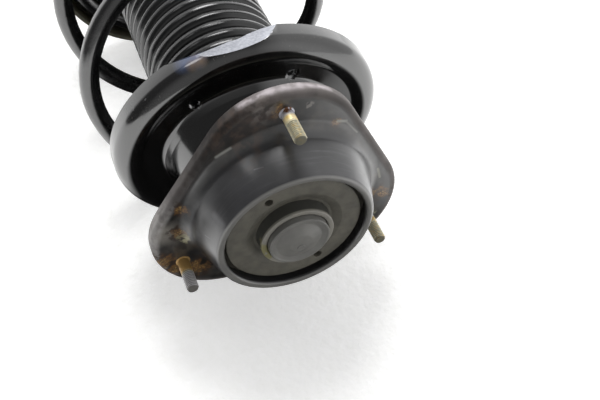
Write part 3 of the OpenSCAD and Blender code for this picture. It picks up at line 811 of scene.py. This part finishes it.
# %% Boss and domed cap
BOSS_TOP = -31.6
CAP_SEAT = BOSS_TOP + 2.5
CAP_FACE = BOSS_TOP - 3.2
DOME_TOP = CAP_FACE - 2
boss = rounded([
    (19.8, BOSS_TOP + 0.4, 0), (20.4, BOSS_TOP, 0.3), (23.2, BOSS_TOP, 0.8), (23.4, -4, 0.5), (32, -4, 0.5),
    (32, 2, 0.5), (17.5, 2, 0.3), (17.5, 0.45, 0), (18.6, 0.45, 0), (18.6, -0.95, 0), (17.5, -0.95, 0),
    (17.5, -12, 0), (14.5, -12, 0), (14.5, -14.5, 0), (17.3, -14.5, 0), (17.3, CAP_SEAT, 0),
    (19.8, CAP_SEAT, 0)])
carrier_boss = make_object("carrier_boss", spun(boss), [boss_steel.material])
stands_for(carrier_boss, "mount", "bearing_carrier")

dome = rounded([
    (0, DOME_TOP, 0), (7, CAP_FACE - 1.9, 7), (14.4, CAP_FACE + 1.1, 2), (17.2, CAP_FACE + 0.3, 0.6),
    (18, CAP_FACE - 0.15, 0.4), (19.2, CAP_FACE - 0.1, 0.7), (19.2, CAP_SEAT, 0), (17.3, CAP_SEAT, 0),
    (17.3, -24, 0), (16.1, -24, 0), (16.1, CAP_FACE + 2.3, 0), (12.6, CAP_FACE + 2.3, 1),
    (8.4, CAP_FACE - 0.7, 4), (0, CAP_FACE - 0.8, 0)], 6)
cap = spun(dome, closed=False)
add_pin(cap, Matrix.Translation((0, DOME_TOP, -3.4)), 2.7, 2.3, 0.7)
stands_for(make_object("domed_cap", cap, [cap_grey.material]), "mount", "dust_cap")

# %% [markdown]
# ## The upper spring seat
# A dish pressed from sheet steel leans ten degrees against the strut. It could be spun with its thickness,
# but its hub is cut level while the dish leans. So one skin is spun and tilted, cut level under the mount,
# closed with the hub's plate, and only then thickened to sheet metal.

# %% The seat's skin
SEAT_AT = 54
SEAT_TILT = 10
SEAT_R = 90
SEAT_SHEET = 2.5
HUB_TOP = 14
HUB_BORE = 7.5
seat_frame = Matrix.Translation((0, SEAT_AT, 0)) @ Matrix.Rotation(math.radians(SEAT_TILT), 4, "X")


def cut_off(bm, point, normal):
    """Cuts off what lies beyond a plane and returns the edges of the cut."""
    cut = bmesh.ops.bisect_plane(
        bm, geom=bm.verts[:] + bm.edges[:] + bm.faces[:], plane_co=point, plane_no=normal, clear_outer=True)
    return [e for e in cut["geom_cut"] if isinstance(e, bmesh.types.BMEdge)]


skin = rounded([
    (46.5, -54, 0), (47.5, -32, 15), (51.5, -16, 20), (56, -3, 8), (59, 3, 4), (72, 3, 4)]
    + arc((SEAT_R - 10, 10), 10, -115, 0, 12) + [(SEAT_R, 17.7, 0)], 6)
dish = spun(skin, closed=False, steps=WIDE_STEPS)
bmesh.ops.transform(dish, matrix=seat_frame, verts=dish.verts)
rim = cut_off(dish, (0, HUB_TOP, 0), (0, -1, 0))
bore = bmesh.ops.create_circle(dish, radius=HUB_BORE, segments=len(rim))["verts"]
laid = Matrix.Translation((0, HUB_TOP, 0)) @ Matrix.Rotation(math.pi / 2, 4, "X")
bmesh.ops.transform(dish, matrix=laid, verts=bore)
bore_edges = list({e for v in bore for e in v.link_edges})
bmesh.ops.bridge_loops(dish, edges=rim + bore_edges)
bmesh.ops.recalc_face_normals(dish, faces=dish.faces)
bmesh.ops.solidify(dish, geom=dish.faces[:], thickness=SEAT_SHEET)
bmesh.ops.recalc_face_normals(dish, faces=dish.faces)
print("dish of", len(dish.faces), "faces, hub rim of", len(rim), "edges")

# %% [markdown]
# One side of the skirt is ground off: two flat cuts, of which the second leaves bare steel. A boolean would
# do, but a plane that cuts the mesh leaves clean edges that can be filled, and the fill gets the ground
# steel. The skirt's inner skin is first moved in a little there, so that it is thick enough for the cuts.

# %% The ground bevel
GROUND_TURN = 95.3
GROUND_HALF = 30
THICKER_R = 86.4
INNER_SKIN = (86.5, 88.5)
SKIRT_FROM = 4
for v in dish.verts:
    place = seat_frame.inverted() @ v.co
    r = math.hypot(place.x, place.z)
    turn = math.degrees(math.atan2(place.z, place.x))
    inside = INNER_SKIN[0] < r < INNER_SKIN[1] and place.y > SKIRT_FROM
    if inside and abs(turn - GROUND_TURN) < GROUND_HALF:
        place.x *= THICKER_R / r
        place.z *= THICKER_R / r
        v.co = seat_frame @ place

# Each cut has a point, a direction and the material slot of its face.
CUTS = (((-8.1, 13.75, 87.4), (-0.197, 1, 0.9957), 0), ((-8.2, 5.3, 88.4), (-0.089, 0.245, 0.965), 1))
for point, normal, slot in CUTS:
    cut_edges = cut_off(dish, seat_frame @ Vector(point), seat_frame.to_3x3() @ Vector(normal))
    filled = bmesh.ops.edgeloop_fill(dish, edges=cut_edges, mat_nr=slot)
    print("cut faces", len(filled["faces"]))

# %% [markdown]
# Four drain holes in the trough are punched and then countersunk, and the paint is chipped beside them: a
# pale crescent on one side of each countersink, which is partly a painted glint on its edge. The two shapes
# of a hole overlap and are cut in one go, and the solver's result there can vary from run to run.
# A flat rubber pad lies in the dish under the spring's first turn.

# %% Drain holes and upper pad
DRAIN_TURNS = (65.5, 125.5, 245.5, 305.5)
DRAIN_CIRCLE = 63
# Each shape has its two radii, its depth and its height in the seat.
DRAIN_SHAPES = ((3.5, 3.5, 20, 5), (3.4, 5.5, 2.1, 2.95))
seat = make_object("pressed_seat", dish, [seat_paint.material, ground_steel.material])
drains = bmesh.new()
for a in DRAIN_TURNS:
    # Pale crescent beside each hole: chipped paint and a painted glint on its edge.
    chipped_and_glint = near(seat_paint, seat_frame @ at(a, 61.6, 3.4), 3.4, 4)
    seat_paint.lay("#8a8c8e", chipped_and_glint, seat_paint.spots(2, 0.5, 0.6))
    for radius_1, radius_2, depth, y in DRAIN_SHAPES:
        add_pin(drains, seat_frame @ Matrix.Translation(at(a, DRAIN_CIRCLE, y)), radius_1, radius_2, depth)
drill(seat, drains)
stands_for(seat, "rod", "upper_spring_seat")

pad = spun(rounded([(63.1, 5.6, 0.8), (76.9, 5.6, 0.8), (76.9, 10.5, 0.8), (63.1, 10.5, 0.8)]))
bmesh.ops.transform(pad, matrix=seat_frame, verts=pad.verts)
upper_pad = make_object("upper_pad", pad, [pad_rubber.material])
stands_for(upper_pad, "rod", "upper_spring_pad")

# %% [markdown]
# ## Boot
# The boot is blow-moulded rubber: half-round ribs with narrow grooves, a wide collar under the seat and a
# tight cuff on the tube. A wave would be quicker to write, but only half-round ribs catch the light on a
# broad crest. So each rib is sampled by angle and the whole section is spun.

# %% Bellows
RIBS = 17
RIB_PITCH = 10
RIB_START = 66
RIB_VALLEY = 43.4
RIB_DEPTH = 5
PER_RIB = 12
BOOT_WALL = 1.6
BOOT_BORE = 24
BOOT_TOP = 17.8
SOFT_SHARP = 60
collar = [(34, BOOT_TOP), (34.6, 24), (36, 37.8), (38, 52), (39.4, 60)]
cuff = [(33, 238.5), (27.4, 241), (27.2, 248)]
ribs = []
for k in range(RIBS * PER_RIB + 1):
    turn = math.pi * (k % PER_RIB) / PER_RIB
    start = RIB_START + RIB_PITCH * (k // PER_RIB)
    ribs.append((RIB_VALLEY + RIB_DEPTH * math.sin(turn), start + RIB_PITCH * (0.5 - 0.5 * math.cos(turn))))
outer = collar + ribs + cuff
inner = [(r - BOOT_WALL, y + (BOOT_WALL if k == 0 else 0)) for k, (r, y) in enumerate(outer)]
section = [(BOOT_BORE, BOOT_TOP)] + outer + inner[::-1] + [(BOOT_BORE, BOOT_TOP + BOOT_WALL)]
boot = make_object("bellows", spun(section, steps=80), [boot_rubber.material], sharp=SOFT_SHARP)
stands_for(boot, "tube", "dust_boot")
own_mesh(boot)

# %% [markdown]
# ## Bump stop
# A cast foam block on the rod, hidden in the boot, with waists that let it fold up. Its outline is spun with
# large roundings.

# %% Foam stop
stop = rounded([
    (11.02, 17.5, 0), (23, 17.5, 1), (23, 27.5, 3), (19, 33.5, 2), (24, 41.5, 4), (24, 47.5, 4),
    (18, 54.5, 2), (22, 62.5, 3), (21, 67.5, 3), (16, 73.5, 2), (18, 79.5, 2), (15, 87.5, 1),
    (11.02, 87.5, 0)])
foam_stop = make_object("foam_stop", spun(stop, steps=64), [foam.material], sharp=SOFT_SHARP)
stands_for(foam_stop, "rod", "bump_stop")
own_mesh(foam_stop)

# %% [markdown]
# ## The coil spring
# The spring is cold-wound wire, 13.7 mm thick. Its first turn is drawn in under the seat and its last turn on
# the perch. A screw modifier gives only an even helix, so the middle line is worked out angle by angle. Its
# radius, its height and its lean pass smoothly from one end to the other.

# %% The wire's middle line
WIRE_R = 6.85
TIP, TAIL = 712.5, -712.5
SEATED, LANDED = 430, -470
SEAT_END_R, BODY_R, PERCH_END_R = 70, 90, 77
PITCH = 84.66
MIDDLE_Y = 128.3
LEAN = 0.074
LEAN_START = 0.9
ON_SEAT = 17.65
ON_PERCH = 290.15
WIDENS, NARROWS = (SEATED, 290), (-290, -415)
LEAVES_SEAT, LANDS = (480, 420), (-445, -495)
STRAIGHTENS = (-290, LANDED)


def through(angle, start, end):
    """0 before the start angle, rising smoothly to 1 at the end angle; angles fall along the wire."""
    x = min(max((start - angle) / (start - end), 0), 1)
    return x * x * (3 - 2 * x)


def route(angle):
    """A point on the wire's middle line; the angle falls from the seat to the perch."""
    body = MIDDLE_Y + PITCH * (180 - angle) / 360
    widened = through(angle, *WIDENS)
    radius = SEAT_END_R + (BODY_R - SEAT_END_R) * widened
    radius -= (BODY_R - PERCH_END_R) * through(angle, *NARROWS)
    lift = (LEAN * (body - SEAT_AT) - LEAN_START) * (widened - through(angle, *STRAIGHTENS))
    turn = math.radians(angle)
    z = radius * math.sin(turn) + lift
    free = body - LEAN * radius * math.sin(turn)
    tilt = math.radians(SEAT_TILT)
    on_seat = SEAT_AT + (ON_SEAT - z * math.sin(tilt)) / math.cos(tilt)
    leaves = through(angle, *LEAVES_SEAT)
    high = max(on_seat, on_seat * (1 - leaves) + free * leaves)
    lands = through(angle, *LANDS)
    return Vector((radius * math.cos(turn), high * (1 - lands) + ON_PERCH * lands, z))


print("wire from", list(route(TIP)), "to", list(route(TAIL)))

# %% [markdown]
# The wire is a curve with a round bevel, which keeps its section square to its run. The curve is turned into
# a mesh, because the pieces that move need points of their own.

# %% The wire
RING_STEP = 5
COIL_SHARP = 50
angles = [TIP - RING_STEP * k for k in range(int((TIP - TAIL) / RING_STEP) + 1)]
line = bpy.data.curves.new("wire", "CURVE")
line.dimensions = "3D"
line.bevel_depth = WIRE_R * MM
line.bevel_resolution = 5
line.use_fill_caps = True
spline = line.splines.new("POLY")
spline.points.add(len(angles) - 1)
for spot, a in zip(spline.points, angles):
    spot.co = (*(route(a) * MM), 1)
wire = bpy.data.objects.new("wire", line)
scene.collection.objects.link(wire)
bpy.context.view_layer.update()
coil_mesh = bpy.data.meshes.new_from_object(wire.evaluated_get(bpy.context.evaluated_depsgraph_get()))
bpy.data.objects.remove(wire)
coil_mesh.shade_smooth()
coil_mesh.set_sharp_from_angle(angle=math.radians(COIL_SHARP))
coil_mesh.materials.clear()
coil_mesh.materials.append(spring_paint.material)
coil = bpy.data.objects.new("coil", coil_mesh)
scene.collection.objects.link(coil)
ring_points = 2 * (line.bevel_resolution + 2)
print("coil", len(coil_mesh.vertices), "points,", len(angles), "rings of", ring_points)

# %% [markdown]
# As the strut closes, the upper end of the spring goes with the rod and the lower end stays with the tube.
# Squashing the whole mesh would flatten the wire. So every ring of points takes one share of the stroke, by
# its angle along the wire. The turns close up and the wire stays round.

# %% How the spring follows the stroke
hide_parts("coil_spring")
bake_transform(coil, "rod", "tube", start=(0, 0.07, 0), end=(0, 0.29, 0))
shares = []
for k in range(len(coil_mesh.vertices)):
    ring = min(k // ring_points, len(angles) - 1)
    shares.append(min(max((SEATED - angles[ring]) / (SEATED - LANDED), 0), 1))
coil_mesh.attributes["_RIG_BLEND"].data.foreach_set("value", shares)
print("shares from", min(shares), "to", max(shares))

# %% [markdown]
# ## The perch
# The lower seat is a dish pressed from sheet and welded to the tube, with a raised platform and three drain
# holes. Its section is spun with its thickness, because nothing on it leans, and the holes are drilled as in
# the rubber. A rubber pad lies on the platform under the last turn.

# %% Perch and lower pad
HOLE_TURNS = (30, 150, 270)
HOLE_CIRCLE = 50
HOLE_R = 5
perch_section = rounded([
    (25.5, 283, 0), (29, 283, 1), (33, 287, 1.5), (61, 287, 3), (66.5, 300, 2.5), (82.8, 300, 2),
    (87, 294.3, 3), (87, 281, 1.2), (90, 281, 1.2), (90, 295.5, 3), (84.2, 303, 3), (65, 303, 3),
    (59.5, 290, 3), (33, 290, 1.5), (28.5, 294, 1.5), (28.5, 306, 0.6), (25.5, 306, 0)])
perch = make_object("pressed_perch", spun(perch_section), [perch_paint.material])
holes = bmesh.new()
for a in HOLE_TURNS:
    add_pin(holes, Matrix.Translation(at(a, HOLE_CIRCLE, 288.5)), HOLE_R, HOLE_R, 20)
drill(perch, holes)
stands_for(perch, "tube", "lower_spring_seat")

lower = spun(rounded([(68, 297, 0.8), (82.5, 297, 0.8), (82.5, 300, 0.3), (68, 300, 0.3)]))
lower_pad = make_object("lower_pad", lower, [pad_rubber.material])
stands_for(lower_pad, "tube", "lower_spring_pad")

# %% [markdown]
# ## Finishes of the remaining pieces
# The tube, its brackets, the bearing, the rod and the valves are turned, welded or ground, and the exact
# model already has their shapes. Modelling them again would only add differences, so they keep their meshes
# and get their surfaces here.

# %% Finishes
FINISHES = {
    black: ("strut_tube", "tube_top_cap", "tube_end_cap", "knuckle_bracket", "link_bracket", "hose_bracket"),
    bare_steel: ("bearing_outer_race", "bearing_inner_race", "bearing_balls", "bearing_circlip", "rod_nut",
                 "rod_washer", "seat_spacer", "piston_nut", "inner_cylinder", "rebound_stop"),
    brass: ("bearing_cage",),
    chrome: ("piston_rod",),
    iron: ("piston", "base_valve"),
    plastic: ("piston_ring",),
    alloy: ("rod_guide",),
    pad_rubber: ("rod_seal",),
}
for look, names in FINISHES.items():
    for name in names:
        nodes[name].data.materials.clear()
        nodes[name].data.materials.append(look.material)
print(sum(len(names) for names in FINISHES.values()), "nodes finished")

# %% [markdown]
# ## The floor
# The part lies on a white sheet. A plain white floor would light the black paint from below, and there the
# photograph is dark. So rays that mirror see the sheet dark close to the part and lit further out, and the
# camera sees it lifted to nearly white, more so away from the part.

# %% White sheet
FLOOR_HALF = (850, 570, 1)
FLOOR_MIDDLE = (100, 240, 0)
SHADE_WIDTH, LIFT_WIDTH = 300, 800
SHADE_FROM = 0.66
MIRROR_LIFT, FAR_LIFT, NEAR_LIFT = 0.8, 0.86, 0.42
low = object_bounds()[0].z
floor_mesh = bmesh.new()
bmesh.ops.create_grid(floor_mesh, x_segments=1, y_segments=1, size=1)
bmesh.ops.scale(floor_mesh, vec=FLOOR_HALF, verts=floor_mesh.verts)
bmesh.ops.translate(floor_mesh, vec=FLOOR_MIDDLE, verts=floor_mesh.verts)

# Woven white cloth: matt and a little uneven.
sheet = Look("sheet", ("#f4f4f4", "#e9e9e6"), 6, (0.8, 0.9), (5, 0.8))
rays = add_node(sheet.tree, "LightPath", {}).node.outputs
mirrored = add_node(sheet.tree, "Math", {
    0: rays["Is Glossy Ray"], 1: rays["Is Transmission Ray"]}, operation="MAXIMUM")
under_part = streak(sheet, (0, -220, 0), (0, 500, 0), SHADE_WIDTH)
shade = add_node(sheet.tree, "MapRange", {"Value": under_part, "From Min": SHADE_FROM})
lit = add_node(sheet.tree, "MapRange", {"Value": shade, "To Min": MIRROR_LIFT, "To Max": 0})
# The camera's lift is weaker near the part: a painted soft shadow round it.
round_part = streak(sheet, (0, -20, 0), (0, 500, 0), LIFT_WIDTH)
lift = add_node(sheet.tree, "MapRange", {
    "Value": round_part, "To Min": FAR_LIFT, "To Max": NEAR_LIFT})
# Painted shade: mirror rays see the sheet dark close to the part.
sheet.lay("#2a2a2a", mirrored, shade)
for_mirrors = add_node(sheet.tree, "Math", {0: mirrored, 1: lit}, operation="MULTIPLY")
glow = add_node(sheet.tree, "Math", {
    0: rays["Is Camera Ray"], 1: lift, 2: for_mirrors}, operation="MULTIPLY_ADD")
sheet.shader.inputs["Emission Color"].default_value = (1, 1, 1, 1)
sheet.tree.links.new(glow, sheet.shader.inputs["Emission Strength"])
floor = make_object("floor", floor_mesh, [sheet.material])
floor.location.z = low
print("floor at", low)

# %% [markdown]
# ## Lamps and room
# The light in the photograph looks like one large soft lamp beyond the part and a weak one at the left. Both
# are round area lamps, because a small lamp would draw hard spots on the black paint. The room is what the
# paint mirrors: dark, with a bright wall at the right, a brighter one beyond the part and a faint one behind
# the camera. The camera itself sees plain white.

# %% Lamps
AIM = Vector((0, 0.02, 0))
# Each lamp has a place and a width in metres, and a power in watts.
LAMPS = {"softbox": ((0.1, 0.6, 1.08), 0.6, 10), "lamp": ((-0.62, 0.33, 1.1), 0.3, 0.6)}
for name, (place, size, power) in LAMPS.items():
    lamp = bpy.data.objects.new(name, bpy.data.lights.new(name, "AREA"))
    lamp.data.shape = "DISK"
    lamp.data.size = size
    lamp.data.energy = power
    lamp.location = place
    lamp.rotation_euler = (AIM - lamp.location).to_track_quat("-Z", "Y").to_euler()
    scene.collection.objects.link(lamp)
print(len(LAMPS), "lamps")

# %% Room
ROOM_LEVEL = 0.12
# Each wall has an axis, where along it the wall begins and is full, and how bright it is.
WALLS = (("X", 0.25, 0.6, 0.75), ("Y", 0.35, 0.6, 1.5), ("Y", -0.3, -0.8, 0.3))
scene.world = bpy.data.worlds.new("studio")
scene.world.use_nodes = True
sky = scene.world.node_tree
toward = add_node(sky, "TexCoord", {}, out="Generated")
ways = add_node(sky, "SeparateXYZ", {0: toward}).node.outputs
room = ROOM_LEVEL
for way, begins, full, level in WALLS:
    wall = add_node(sky, "MapRange", {
        "Value": ways[way], "From Min": begins, "From Max": full, "To Max": level})
    room = add_node(sky, "Math", {0: room, 1: wall}, operation="ADD")
seen = add_node(sky, "LightPath", {}, out="Is Camera Ray")
strength = add_node(sky, "Mix", {0: seen, 2: room, 3: 1.0})
sky.nodes["Background"].inputs["Color"].default_value = (1, 1, 1, 1)
sky.links.new(strength, sky.nodes["Background"].inputs["Strength"])
print(len(WALLS), "bright walls")
